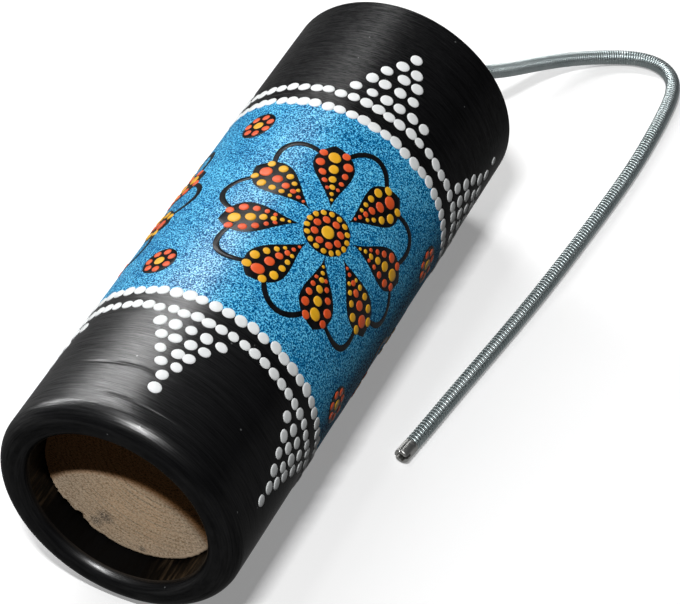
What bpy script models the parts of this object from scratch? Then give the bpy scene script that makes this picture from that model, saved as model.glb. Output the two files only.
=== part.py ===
import math

import bmesh
import bpy
import numpy as np
from mathutils import Matrix, Vector

# Driving sizes, in metres
TUBE_RADIUS = 0.039
TUBE_LENGTH = 0.200
TUBE_SIDES = 64
WALL = 0.010
NEAR_RIM_OUTER_SHARE = 0.63
FAR_EDGE_ROUND = 0.0008
FIT = 0.0003

PLUG_RECESS = 0.0117
PLUG_THICK = 0.012
PLUG_EDGE = 0.0006

MEMBRANE_THICK = 0.0006
RING_THICK = 0.0026
RING_WIDTH = 0.0048
RING_SETBACK = 0.0006
HEAD_LEDGE = 0.0045
PATCH_RADIUS = 0.008
PATCH_THICK = 0.0008
WASHER_RADIUS = 0.006
WASHER_THICK = 0.001

WIRE_RADIUS = 0.0006
TAIL_CLEARANCE = 0.0004
TAIL_REACH = 0.0036
PIN_RADIUS = 0.001
PIN_LENGTH = 0.014
SWING_GAP = 0.0007

COIL_RADIUS = 0.0025
COIL_WIRE_RADIUS = 0.0011
COIL_CURLS = 80
POINTS_PER_CURL = 8
FLOOR_CLEARANCE = 0.0001

FERRULE_RADIUS = 0.0025
FERRULE_LENGTH = 0.0062
FERRULE_SLOT_WIDTH = 0.0008
FERRULE_SLOT_DEPTH = 0.0020

# Sizes that follow from those above
AXIS_HEIGHT = TUBE_RADIUS * math.cos(math.pi / TUBE_SIDES)
BORE_RADIUS = TUBE_RADIUS - WALL
NEAR_END = -TUBE_LENGTH / 2
FAR_END = TUBE_LENGTH / 2
RIM_OUTER = WALL * NEAR_RIM_OUTER_SHARE
RIM_INNER = WALL - RIM_OUTER
REBATE_RADIUS = BORE_RADIUS + HEAD_LEDGE
RING_OUTER = REBATE_RADIUS - FIT
RING_TOP = FAR_END - RING_SETBACK
RING_FOOT = RING_TOP - RING_THICK
MEMBRANE_OUT = RING_FOOT - FIT
MEMBRANE_IN = MEMBRANE_OUT - MEMBRANE_THICK
LEDGE = MEMBRANE_IN - FIT
PATCH_FOOT = MEMBRANE_OUT + FIT
PATCH_TOP = PATCH_FOOT + PATCH_THICK
WASHER_OUT = MEMBRANE_IN - FIT
WASHER_IN = WASHER_OUT - WASHER_THICK
TAIL_HOLE = WIRE_RADIUS + TAIL_CLEARANCE
PIN_ALONG = WASHER_IN - FIT - PIN_RADIUS
HOOK_RADIUS = PIN_RADIUS + FIT + WIRE_RADIUS
TAIL_END = PATCH_TOP + TAIL_REACH
SWING_POINT = TAIL_END + SWING_GAP / 2
COIL_START = TAIL_END + SWING_GAP
COIL_HEIGHT = COIL_RADIUS + FLOOR_CLEARANCE

# Where the middle of the spring runs: out of the head, down to the floor, round and back
ROUTE = [
    (0.0, COIL_START, AXIS_HEIGHT),
    (0.0003, COIL_START + 0.0051, AXIS_HEIGHT - 0.0002),
    (0.0062, 0.1260, 0.0320),
    (0.0161, 0.1482, 0.0200),
    (0.0229, 0.1686, 0.0100),
    (0.0323, 0.1832, 0.0046),
    (0.0409, 0.1903, COIL_HEIGHT + 0.0002),
    (0.0508, 0.1939, COIL_HEIGHT),
    (0.0585, 0.1932, COIL_HEIGHT),
    (0.0643, 0.1886, COIL_HEIGHT),
    (0.0672, 0.1815, COIL_HEIGHT),
    (0.0684, 0.1720, COIL_HEIGHT),
    (0.0690, 0.1550, COIL_HEIGHT),
    (0.0689, 0.1400, COIL_HEIGHT),
    (0.0679, 0.1213, COIL_HEIGHT),
    (0.0659, 0.0963, COIL_HEIGHT),
    (0.0631, 0.0680, COIL_HEIGHT),
    (0.0595, 0.0399, COIL_HEIGHT),
    (0.0561, 0.0154, COIL_HEIGHT),
    (0.0530, -0.0077, COIL_HEIGHT),
]
ROUTE_START = (0.0, 1.0, 0.0)
ROUTE_END = (-0.150, -0.989, 0.0)


def clear_scene():
    for obj in list(bpy.data.objects):
        bpy.data.objects.remove(obj, do_unlink=True)


def new_collection(name):
    group = bpy.data.collections.new(name)
    bpy.context.scene.collection.children.link(group)
    return group


def new_material(name, colour, roughness, metallic):
    mat = bpy.data.materials.new(name)
    mat.use_nodes = True
    shader = mat.node_tree.nodes["Principled BSDF"]
    shader.inputs["Base Color"].default_value = (*colour, 1.0)
    shader.inputs["Roughness"].default_value = roughness
    shader.inputs["Metallic"].default_value = metallic
    return mat


def arc(centre, radius, start_deg, end_deg, steps):
    points = []
    for i in range(steps + 1):
        a = math.radians(start_deg + (end_deg - start_deg) * i / steps)
        points.append((centre[0] + radius * math.cos(a), centre[1] + radius * math.sin(a)))
    return points


def turned(name, profile, sides, group, mat, closed):
    """A turned piece: its profile is (radius, along), and it runs down the outer side."""
    half = math.pi / sides
    bm = bmesh.new()
    verts = []
    for radius, along in profile:
        verts.append(bm.verts.new((radius * math.cos(half), radius * math.sin(half), along)))
    for first, second in zip(verts, verts[1:]):
        bm.edges.new((first, second))
    if closed:
        bm.edges.new((verts[-1], verts[0]))
    mesh = bpy.data.meshes.new(name)
    bm.to_mesh(mesh)
    bm.free()
    obj = bpy.data.objects.new(name, mesh)
    group.objects.link(obj)
    screw = obj.modifiers.new("turn", "SCREW")
    screw.axis = "Z"
    screw.angle = math.tau
    screw.steps = sides
    screw.render_steps = sides
    screw.use_merge_vertices = True
    screw.merge_threshold = 0.000002
    mesh.materials.append(mat)
    return obj


def lay_along_tube(obj):
    obj.matrix_world = Matrix.Translation((0, 0, AXIS_HEIGHT)) @ Matrix.Rotation(-math.pi / 2, 4, "X")


def ring_profile(inner, outer, low, high):
    return [(outer, high), (outer, low), (inner, low), (inner, high)]


def wire(name, points, radius, group, mat):
    curve = bpy.data.curves.new(name, "CURVE")
    curve.dimensions = "3D"
    curve.bevel_depth = radius
    curve.bevel_resolution = 1
    curve.use_fill_caps = True
    curve.twist_mode = "MINIMUM"
    spline = curve.splines.new("POLY")
    spline.points.add(len(points) - 1)
    for point, place in zip(spline.points, points):
        point.co = (*place, 1.0)
    curve.materials.append(mat)
    obj = bpy.data.objects.new(name, curve)
    group.objects.link(obj)
    return obj


def smooth_line(points, start, end, count):
    """A smooth line through the points, as count places an equal way apart."""
    p = np.array(points, float)
    step = np.linalg.norm(np.diff(p, axis=0), axis=1)
    n = len(p)
    left = np.zeros((n, n))
    right = np.zeros((n, 3))
    left[0, 0] = 1
    left[-1, -1] = 1
    right[0] = start
    right[-1] = end
    for i in range(1, n - 1):
        left[i, i - 1] = 1 / step[i - 1]
        left[i, i] = 2 / step[i - 1] + 2 / step[i]
        left[i, i + 1] = 1 / step[i]
        right[i] = 3 * (p[i] - p[i - 1]) / step[i - 1] ** 2 + 3 * (p[i + 1] - p[i]) / step[i] ** 2
    slope = np.linalg.solve(left, right)
    fine = [p[:1]]
    t = np.linspace(0, 1, 41)[1:, None]
    for i in range(n - 1):
        a = p[i] * (2 * t**3 - 3 * t**2 + 1) + p[i + 1] * (3 * t**2 - 2 * t**3)
        b = slope[i] * (t**3 - 2 * t**2 + t) + slope[i + 1] * (t**3 - t**2)
        fine.append(a + step[i] * b)
    fine = np.concatenate(fine)
    along = np.concatenate([[0], np.cumsum(np.linalg.norm(np.diff(fine, axis=0), axis=1))])
    at = np.linspace(0, along[-1], count)
    return np.stack([np.interp(at, along, fine[:, k]) for k in range(3)], axis=1), along[-1]


def curl_round(line, length):
    """The wire's points: straight for one wire diameter, then curls, then straight again."""
    count = len(line)
    tangent = np.gradient(line, axis=0)
    tangent /= np.linalg.norm(tangent, axis=1)[:, None]
    side = np.cross(tangent[0], (0.0, 0.0, 1.0))
    side /= np.linalg.norm(side)
    lead = 2 * COIL_WIRE_RADIUS
    ramp = length / COIL_CURLS
    turn_radius = COIL_RADIUS - COIL_WIRE_RADIUS
    places = []
    for i in range(count):
        side = side - tangent[i] * side.dot(tangent[i])
        side /= np.linalg.norm(side)
        up = np.cross(side, tangent[i])
        s = length * i / (count - 1)
        grown = min(max((min(s, length - s) - lead) / ramp, 0.0), 1.0)
        grown = grown * grown * (3 - 2 * grown)
        angle = math.tau * i / POINTS_PER_CURL
        places.append(line[i] + turn_radius * grown * (side * math.cos(angle) + up * math.sin(angle)))
    return np.array(places)


def least_gap(places, radius):
    """The least gap between the wire and the rest of itself, measured on points."""
    parts = 5
    t = np.linspace(0, 1, parts, endpoint=False)[None, :, None]
    fine = (places[:-1, None] * (1 - t) + places[1:, None] * t).reshape(-1, 3)
    along = np.concatenate([[0], np.cumsum(np.linalg.norm(np.diff(fine, axis=0), axis=1))])
    best = np.inf
    for i in range(len(fine)):
        far = np.abs(along - along[i]) > 5 * radius
        if far.any():
            best = min(best, np.linalg.norm(fine[far] - fine[i], axis=1).min())
    return best - 2 * radius


clear_scene()
parts = new_collection("thunder_tube")
cutters = new_collection("cutters")

painted_wood = new_material("painted_wood", (0.02, 0.02, 0.025), 0.45, 0.0)
end_grain = new_material("end_grain", (0.62, 0.43, 0.25), 0.8, 0.0)
head_skin = new_material("head_skin", (0.83, 0.78, 0.66), 0.5, 0.0)
ring_wood = new_material("ring_wood", (0.03, 0.03, 0.035), 0.5, 0.0)
patch_leather = new_material("patch_leather", (0.35, 0.2, 0.1), 0.7, 0.0)
washer_steel = new_material("washer_steel", (0.6, 0.6, 0.62), 0.35, 1.0)
tail_steel = new_material("tail_steel", (0.55, 0.56, 0.57), 0.3, 1.0)
pin_steel = new_material("pin_steel", (0.5, 0.5, 0.52), 0.35, 1.0)
spring_steel = new_material("spring_steel", (0.55, 0.57, 0.57), 0.3, 1.0)
ferrule_steel = new_material("ferrule_steel", (0.6, 0.62, 0.62), 0.3, 1.0)

# The tube: far end at the top of the profile, near end with its rim rounded over at the foot
body_profile = arc((TUBE_RADIUS - FAR_EDGE_ROUND, FAR_END - FAR_EDGE_ROUND), FAR_EDGE_ROUND, 90, 0, 3)
body_profile += arc((TUBE_RADIUS - RIM_OUTER, NEAR_END + RIM_OUTER), RIM_OUTER, 0, -90, 8)
body_profile += arc((BORE_RADIUS + RIM_INNER, NEAR_END + RIM_INNER), RIM_INNER, -90, -180, 6)[1:]
body_profile += [(BORE_RADIUS, LEDGE), (REBATE_RADIUS, LEDGE), (REBATE_RADIUS, FAR_END)]
body_tube = turned("body_tube", body_profile, TUBE_SIDES, parts, painted_wood, True)
lay_along_tube(body_tube)

# The plug that closes the near end, set back inside the mouth
plug_out = NEAR_END + PLUG_RECESS
plug_in = plug_out + PLUG_THICK
plug_radius = BORE_RADIUS - FIT
plug_profile = [
    (0.0, plug_in),
    (plug_radius, plug_in),
    (plug_radius, plug_out + PLUG_EDGE),
    (plug_radius - PLUG_EDGE, plug_out),
    (0.0, plug_out),
]
end_plug = turned("end_plug", plug_profile, TUBE_SIDES, parts, end_grain, False)
lay_along_tube(end_plug)

# The drum head, the ring that holds it, and what strengthens its middle
membrane = turned(
    "membrane",
    ring_profile(TAIL_HOLE, RING_OUTER, MEMBRANE_IN, MEMBRANE_OUT),
    TUBE_SIDES,
    parts,
    head_skin,
    True,
)
lay_along_tube(membrane)
head_ring = turned(
    "head_ring",
    ring_profile(RING_OUTER - RING_WIDTH, RING_OUTER, RING_FOOT, RING_TOP),
    TUBE_SIDES,
    parts,
    ring_wood,
    True,
)
lay_along_tube(head_ring)
head_patch = turned(
    "head_patch",
    ring_profile(TAIL_HOLE, PATCH_RADIUS, PATCH_FOOT, PATCH_TOP),
    32,
    parts,
    patch_leather,
    True,
)
lay_along_tube(head_patch)
inner_washer = turned(
    "inner_washer",
    ring_profile(TAIL_HOLE, WASHER_RADIUS, WASHER_IN, WASHER_OUT),
    32,
    parts,
    washer_steel,
    True,
)
lay_along_tube(inner_washer)

# The wire's tail: straight through the head, then hooked round the cross pin
pin_height = AXIS_HEIGHT - HOOK_RADIUS
tail_places = [(0.0, TAIL_END, AXIS_HEIGHT), (0.0, PATCH_TOP, AXIS_HEIGHT), (0.0, WASHER_IN, AXIS_HEIGHT)]
for i in range(13):
    bend = math.radians(200 * i / 12)
    tail_places.append(
        (0.0, PIN_ALONG - HOOK_RADIUS * math.sin(bend), pin_height + HOOK_RADIUS * math.cos(bend))
    )
spring_tail = wire("spring_tail", tail_places, WIRE_RADIUS, parts, tail_steel)

pin_mesh = bpy.data.meshes.new("anchor_pin")
pin_bm = bmesh.new()
bmesh.ops.create_cone(
    pin_bm,
    cap_ends=True,
    segments=16,
    radius1=PIN_RADIUS,
    radius2=PIN_RADIUS,
    depth=PIN_LENGTH,
)
pin_bm.to_mesh(pin_mesh)
pin_bm.free()
pin_mesh.materials.append(pin_steel)
anchor_pin = bpy.data.objects.new("anchor_pin", pin_mesh)
parts.objects.link(anchor_pin)
anchor_pin.matrix_world = Matrix.Translation((0, PIN_ALONG, pin_height)) @ Matrix.Rotation(math.pi / 2, 4, "Y")

# The spring: one unbroken wire whose curls follow the route
count = COIL_CURLS * POINTS_PER_CURL + 1
line, route_length = smooth_line(ROUTE, ROUTE_START, ROUTE_END, count)
coil_places = curl_round(line, route_length)
spring_coil = wire("spring_coil", [tuple(p) for p in coil_places], COIL_WIRE_RADIUS, parts, spring_steel)
print("spring route is", round(route_length * 1000, 1), "mm long")
print("spring wire clears itself by", round(least_gap(coil_places, COIL_WIRE_RADIUS) * 1000, 3), "mm")

# The slotted sleeve on the spring's free end
end_way = Vector(ROUTE_END).normalized()
ferrule_profile = [
    (0.0, FERRULE_LENGTH),
    (FERRULE_RADIUS - 0.0007, FERRULE_LENGTH),
    (FERRULE_RADIUS - 0.0002, FERRULE_LENGTH - 0.0002),
    (FERRULE_RADIUS, FERRULE_LENGTH - 0.0007),
    (FERRULE_RADIUS, 0.0003),
    (FERRULE_RADIUS - 0.0003, 0.0),
    (0.0, 0.0),
]
ferrule_place = (
    Matrix.Translation(Vector(ROUTE[-1]) + end_way * FIT) @ end_way.to_track_quat("Z", "Y").to_matrix().to_4x4()
)
tip_ferrule = turned("tip_ferrule", ferrule_profile, 24, parts, ferrule_steel, False)
tip_ferrule.matrix_world = ferrule_place

slot_mesh = bpy.data.meshes.new("ferrule_slot")
slot_bm = bmesh.new()
bmesh.ops.create_cube(slot_bm, size=1.0)
slot_bm.to_mesh(slot_mesh)
slot_bm.free()
ferrule_slot = bpy.data.objects.new("ferrule_slot", slot_mesh)
cutters.objects.link(ferrule_slot)
ferrule_slot.matrix_world = (
    ferrule_place
    @ Matrix.Translation((0, 0, FERRULE_LENGTH))
    @ Matrix.Rotation(math.radians(35), 4, "Z")
    @ Matrix.Diagonal((4 * FERRULE_RADIUS, FERRULE_SLOT_WIDTH, 2 * FERRULE_SLOT_DEPTH, 1))
)
ferrule_slot.hide_render = True
ferrule_slot.display_type = "WIRE"
slot_cut = tip_ferrule.modifiers.new("slot", "BOOLEAN")
slot_cut.operation = "DIFFERENCE"
slot_cut.solver = "EXACT"
slot_cut.object = ferrule_slot
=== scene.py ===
# %% [markdown]
# # A painted thunder tube
# A thunder tube is a short wooden tube with a drum head across one end. A long steel spring
# hangs from the middle of the head, and shaking the tube makes the spring rumble.
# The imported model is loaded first, and its shapes are never changed. Everything below is built
# round it, in metres, in the same frame: the tube lies along Y, the floor is at z = 0. The
# packed tube has 64 flat sides and rests on one of them, which sets the height of its axis.

# %% Load the frame
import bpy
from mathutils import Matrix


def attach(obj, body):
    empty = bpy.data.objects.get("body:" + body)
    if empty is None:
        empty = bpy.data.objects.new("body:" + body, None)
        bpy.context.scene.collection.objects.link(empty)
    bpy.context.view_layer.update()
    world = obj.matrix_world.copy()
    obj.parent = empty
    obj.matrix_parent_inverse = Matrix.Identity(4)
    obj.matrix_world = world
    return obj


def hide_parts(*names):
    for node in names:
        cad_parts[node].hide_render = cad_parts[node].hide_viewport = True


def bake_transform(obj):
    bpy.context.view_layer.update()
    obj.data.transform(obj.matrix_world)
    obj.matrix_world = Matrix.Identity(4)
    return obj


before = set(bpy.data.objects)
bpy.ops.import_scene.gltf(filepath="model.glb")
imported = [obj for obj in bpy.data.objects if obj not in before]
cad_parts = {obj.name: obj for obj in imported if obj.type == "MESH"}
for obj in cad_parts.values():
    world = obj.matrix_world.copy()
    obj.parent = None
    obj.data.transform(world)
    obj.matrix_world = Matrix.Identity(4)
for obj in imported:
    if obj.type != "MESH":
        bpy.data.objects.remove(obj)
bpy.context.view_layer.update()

# %% Tools used all through
import math
import random

import bmesh
import bpy
import numpy as np
from mathutils import Matrix, Vector, noise

TUBE_RADIUS = 0.039
TUBE_LENGTH = 0.200
BORE_RADIUS = 0.029
PACKED_SIDES = 64
AXIS_HEIGHT = TUBE_RADIUS * math.cos(math.pi / PACKED_SIDES)
NEAR_END = -TUBE_LENGTH / 2
FAR_END = TUBE_LENGTH / 2


def added(name, data):
    obj = bpy.data.objects.new(name, data)
    bpy.context.scene.collection.objects.link(obj)
    return obj


print("tube axis is", round(AXIS_HEIGHT * 1000, 2), "mm above the floor")

# %% [markdown]
# ## Camera
# The camera stands where the photographer stood. Its height, its turn and its long lens were
# worked out from the tube's outline and from the painted rows, which are circles on the real
# object. A long lens keeps the tube's sides almost parallel, as in the picture.

# %% Camera
CAMERA_PLACE = (0.2999, -0.5893, 0.6860)
CAMERA_TURN_DEG = 25.0146
CAMERA_DOWN_DEG = 44.568
CAMERA_LENS_MM = 159.97
CAMERA_SENSOR_MM = 36

camera_data = bpy.data.cameras.new("photo_camera")
camera_data.sensor_width = CAMERA_SENSOR_MM
camera_data.sensor_fit = "HORIZONTAL"
camera_data.lens = CAMERA_LENS_MM
camera_data.clip_start = 0.01
camera = added("photo_camera", camera_data)
camera.location = CAMERA_PLACE
camera.rotation_euler = (math.radians(90 - CAMERA_DOWN_DEG), 0, math.radians(CAMERA_TURN_DEG))
bpy.context.scene.camera = camera
print("camera lens", CAMERA_LENS_MM, "mm")

# %% [markdown]
# ## Light
# The shadow inside the mouth has a sharp edge that runs across, and the shine on the rim is a
# short streak. Both come from a small, thin soft box overhead and a little to the front. The
# sheen on the black paint shows a long strip behind on the left, which leans with the tube's
# curve. A weak box high on the left fills, and a weak one behind lights the drum head for views
# from there. One bright even room would be simpler, but it would wash out the dark paint.

# %% Lamps
def soft_box(name, place, aim, long_way, long_side, short_side, watts):
    lamp = bpy.data.lights.new(name, "AREA")
    lamp.shape = "RECTANGLE"
    lamp.size = long_side
    lamp.size_y = short_side
    lamp.energy = watts
    back = (Vector(place) - Vector(aim)).normalized()
    side = (Vector(long_way) - back * Vector(long_way).dot(back)).normalized()
    turn = Matrix((side, back.cross(side), back)).transposed().to_4x4()
    obj = added(name, lamp)
    obj.matrix_world = Matrix.Translation(place) @ turn
    obj.visible_camera = False
    return obj


TUBE_MIDDLE = (0, 0, AXIS_HEIGHT)
HEAD_MIDDLE = (0, FAR_END, AXIS_HEIGHT)
STRIP_PLACE = (-0.758, 0.451, 0.634)
LEANING = (0.578, 0.509, 0.638)
soft_box("overhead_soft_box", (0.14, -0.62, 1.375), TUBE_MIDDLE, (1, 0.19, 0), 0.24, 0.03, watts=17.0)
soft_box("left_soft_box", (-0.28, 0.00, 1.34), TUBE_MIDDLE, (0, 1, 0), 0.60, 0.14, watts=1.5)
leaning_strip = soft_box("leaning_strip", STRIP_PLACE, TUBE_MIDDLE, LEANING, 1.33, 0.08, watts=10.6)
soft_box("head_soft_box", (0.05, 1.35, 0.25), HEAD_MIDDLE, (1, 0, 0), 0.50, 0.30, watts=0.5)

bpy.context.scene.view_settings.view_transform = "Standard"
print("four soft boxes")

# %% [markdown]
# ## Node helpers
# Every finish below is made of nodes, and a few helpers keep that short. The first two plug values
# or links into a node and add a new one, and the others build on them. A socket knows the tree
# of nodes that it is in, its id_data, so most helpers find their tree by themselves. Nearly all
# of a noise lies between 0.3 and 0.7, so two helpers spread just that part. The last one sets
# what every finish has: its colour, its roughness, its relief and its shine.

# %% Nodes and textures
NOISE_LOW = 0.3
NOISE_HIGH = 0.7


def plug(node, plugs):
    for key, value in plugs.items():
        if isinstance(value, bpy.types.NodeSocket):
            node.id_data.links.new(value, node.inputs[key])
        else:
            node.inputs[key].default_value = value


def put(tree, kind, plugs=None, **settings):
    node = tree.nodes.new(kind)
    for key, value in settings.items():
        setattr(node, key, value)
    plug(node, plugs or {})
    return node


def ramp(factor, stops):
    node = put(factor.id_data, "ShaderNodeValToRGB", {"Fac": factor})
    line = node.color_ramp
    while len(line.elements) < len(stops):
        line.elements.new(0.5)
    for element, (place, colour) in zip(line.elements, stops):
        element.position = place
        element.color = (*colour, 1)
    return node.outputs["Color"]


def two_tones(value, deep, pale):
    return ramp(value, [(NOISE_LOW, deep), (NOISE_HIGH, pale)])


def new_finish(name):
    finish = bpy.data.materials.new(name)
    finish.use_nodes = True
    tree = finish.node_tree
    return finish, tree, tree.nodes["Principled BSDF"]


def places(tree, stretch=(1, 1, 1)):
    spot = put(tree, "ShaderNodeTexCoord").outputs["Object"]
    return put(tree, "ShaderNodeMapping", {"Vector": spot, "Scale": stretch}).outputs["Vector"]


def grain(vector, scale, detail=2.0, rough=0.5):
    plugs = {"Vector": vector, "Scale": scale, "Detail": detail, "Roughness": rough}
    return put(vector.id_data, "ShaderNodeTexNoise", plugs).outputs["Fac"]


def cells(vector, scale):
    node = put(vector.id_data, "ShaderNodeTexVoronoi", {"Vector": vector, "Scale": scale})
    return node.outputs["Distance"]


print("helpers for nodes and textures")

# %% Mixes, sums and ranges
PLAIN_SHINE = 0.5


def with_alpha(colour):
    return colour if isinstance(colour, bpy.types.NodeSocket) else (*colour, 1)


def mixed(factor, first, second, blend="MIX"):
    plugs = {0: factor, 6: with_alpha(first), 7: with_alpha(second)}
    return put(factor.id_data, "ShaderNodeMix", plugs, data_type="RGBA", blend_type=blend).outputs[2]


def mixed_value(factor, first, second):
    return put(factor.id_data, "ShaderNodeMix", {0: factor, 2: first, 3: second}).outputs[0]


def maths(kind, *values, **settings):
    node = put(values[0].id_data, "ShaderNodeMath", dict(enumerate(values)), operation=kind, **settings)
    return node.outputs["Value"]


def vector_maths(kind, first, second):
    node = put(first.id_data, "ShaderNodeVectorMath", {0: first, 1: second}, operation=kind)
    return node.outputs["Value"]


def stretched(value, low, high, new_low, new_high):
    plugs = {"Value": value, "From Min": low, "From Max": high, "To Min": new_low, "To Max": new_high}
    return put(value.id_data, "ShaderNodeMapRange", plugs).outputs["Result"]


def spread(value, low, high):
    return stretched(value, NOISE_LOW, NOISE_HIGH, low, high)


def bump(height, strength, distance):
    plugs = {"Height": height, "Strength": strength, "Distance": distance}
    return put(height.id_data, "ShaderNodeBump", plugs).outputs["Normal"]


def dress(shader, colour, rough, relief, shine=PLAIN_SHINE):
    plug(shader, {"Base Color": colour, "Roughness": rough, "Normal": relief, "Specular IOR Level": shine})


print("helpers for mixes, sums and ranges")

# %% [markdown]
# ## Room and floor
# The tube lies on a plain white sheet in a dim room. A white floor throws a lot of light back up
# and would wash out the dark side of the paint. So the sheet is pale for the eye alone, and a
# glow that only the eye, mirrors and glass see lifts it to white. The room works in the same
# way: steel and gloss show a grey room, and almost nothing of it fills the shadows.

# %% Room
ROOM_FILL = 0.005
ROOM_SEEN = 0.06
ROOM_COLOUR = (0.93, 0.96, 1.0, 1)


def seen_rays(tree):
    rays = put(tree, "ShaderNodeLightPath").outputs
    seen = rays["Is Camera Ray"]
    for kind in ("Is Glossy Ray", "Is Transmission Ray"):
        seen = maths("MAXIMUM", seen, rays[kind])
    return rays["Is Camera Ray"], seen


room = bpy.data.worlds.new("room")
room.use_nodes = True
tree = room.node_tree
seen = seen_rays(tree)[1]
room_light = stretched(seen, 0, 1, ROOM_FILL, ROOM_SEEN)
plug(tree.nodes["Background"], {"Color": ROOM_COLOUR, "Strength": room_light})
bpy.context.scene.world = room
print("dim room, fill", ROOM_FILL)

# %% Floor
SHEET_GLOW = 0.27
SHEET_BOUNCE = (0.02, 0.02, 0.02)
SHEET_DEEP = (0.76, 0.76, 0.76)
SHEET_PALE = (0.80, 0.80, 0.80)
SHEET_HALF = 4
SHEET_DROP = 0.0002
floor_finish, tree, shader = new_finish("pale_floor")
eye, seen = seen_rays(tree)
paper = two_tones(grain(places(tree), 3.0), SHEET_DEEP, SHEET_PALE)
paper = mixed(eye, SHEET_BOUNCE, paper)
glow = stretched(seen, 0, 1, 0, SHEET_GLOW)
plug(shader, {"Base Color": paper, "Roughness": 0.9, "Specular IOR Level": 0.1})
plug(shader, {"Emission Color": (1, 1, 1, 1), "Emission Strength": glow})

floor_mesh = bpy.data.meshes.new("floor")
corners = [(SHEET_HALF * x, SHEET_HALF * y, 0) for x, y in ((-1, -1), (1, -1), (1, 1), (-1, 1))]
floor_mesh.from_pydata(corners, [], [(0, 1, 2, 3)])
floor_mesh.materials.append(floor_finish)
floor = added("floor", floor_mesh)
floor.location.z = -SHEET_DROP
print("floor laid")

# %% [markdown]
# ## The spring
# The real spring is wound from wire of about 0.8 mm and is 5 mm across. It leaves the head, droops
# to the floor, turns back and lies beside the tube. A curve with a screw of turns would be
# simpler, but its turns would not stay touching through a bend. So the middle line is worked out
# first, and the wire is wound round it point by point. In the bend the turns touch on the
# inner side and open on the outer side, as real ones do. The first half is wound so tight that it
# looks like one smooth skin, so the wire's back is flatter there.

# %% The spring's middle line
SPRING_RADIUS = 0.0025
FLOOR_PLAY = 0.0001
SPRING_HEIGHT = SPRING_RADIUS + FLOOR_PLAY
SPRING_EXIT = (0.0, 0.0980, AXIS_HEIGHT)
IN_THE_AIR = [
    SPRING_EXIT,
    (0.0, 0.1019, AXIS_HEIGHT),
    (0.0003, 0.1070, AXIS_HEIGHT - 0.0002),
    (0.0062, 0.1260, 0.0320),
    (0.0161, 0.1482, 0.0200),
    (0.0229, 0.1686, 0.0100),
    (0.0323, 0.1832, 0.0046),
    (0.0409, 0.1903, SPRING_HEIGHT + 0.0002),
]
ON_THE_FLOOR = [(0.0508, 0.1939), (0.0585, 0.1932), (0.0643, 0.1886), (0.0672, 0.1815), (0.0684, 0.1720)]
ON_THE_FLOOR += [(0.0690, 0.1550), (0.0689, 0.1400), (0.0679, 0.1213), (0.0659, 0.0963)]
ON_THE_FLOOR += [(0.0631, 0.0680), (0.0595, 0.0399), (0.0561, 0.0154), (0.0530, -0.0077)]
ROUTE = IN_THE_AIR + [(x, y, SPRING_HEIGHT) for x, y in ON_THE_FLOOR]
ROUTE_START = (0.0, 1.0, 0.0)
ROUTE_END = (-0.150, -0.989, 0.0)
STEPS_BETWEEN = 80
RING_SPACING = 0.00006


def smooth_line(points, start, end):
    p = np.array(points, float)
    step = np.linalg.norm(np.diff(p, axis=0), axis=1)
    n = len(p)
    left = np.eye(n)
    right = np.zeros((n, 3))
    right[0] = start
    right[-1] = end
    for i in range(1, n - 1):
        left[i, i - 1 : i + 2] = (1 / step[i - 1], 2 / step[i - 1] + 2 / step[i], 1 / step[i])
        right[i] = 3 * (p[i] - p[i - 1]) / step[i - 1] ** 2 + 3 * (p[i + 1] - p[i]) / step[i] ** 2
    slope = np.linalg.solve(left, right)
    t = np.linspace(0, 1, STEPS_BETWEEN + 1)[1:, None]
    fine = [p[:1]]
    for i in range(n - 1):
        ends = p[i] * (2 * t**3 - 3 * t**2 + 1) + p[i + 1] * (3 * t**2 - 2 * t**3)
        bends = slope[i] * (t**3 - 2 * t**2 + t) + slope[i + 1] * (t**3 - t**2)
        fine.append(ends + step[i] * bends)
    fine = np.concatenate(fine)
    along = np.concatenate([[0], np.cumsum(np.linalg.norm(np.diff(fine, axis=0), axis=1))])
    at = np.linspace(0, along[-1], int(along[-1] / RING_SPACING) + 1)
    return np.stack([np.interp(at, along, fine[:, k]) for k in range(3)], axis=1), along[-1]


middle, spring_length = smooth_line(ROUTE, ROUTE_START, ROUTE_END)
print("spring's middle line is", round(spring_length * 1000, 1), "mm long")

# %% Wind the wire
WIRE_RADIUS = 0.00040
TIGHT_HALF_HEIGHT = 0.00016
CLOSE_PITCH = 0.00081
OPEN_PITCH = 0.00128
OPENS_AT = (0.135, 0.175)
WIRE_SIDES = 10


def unit(vectors):
    return vectors / np.linalg.norm(vectors, axis=1)[:, None]


def side_frames(line):
    way = unit(np.gradient(line, axis=0))
    side = np.cross(way[0], (0.0, 0.0, 1.0))
    sides = np.zeros_like(line)
    for i in range(len(line)):
        side = side - way[i] * side.dot(way[i])
        side = side / np.linalg.norm(side)
        sides[i] = side
    return way, sides, np.cross(sides, way)


def wire_rings(line, outward, half_heights):
    sideways = unit(np.cross(np.gradient(line, axis=0), outward))
    ring = np.arange(WIRE_SIDES) * math.tau / WIRE_SIDES
    lift = half_heights[:, None] * np.cos(ring)[None]
    aside = WIRE_RADIUS * np.sin(ring)
    return line[:, None] + outward[:, None] * lift[:, :, None] + sideways[:, None] * aside[None, :, None]


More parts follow.
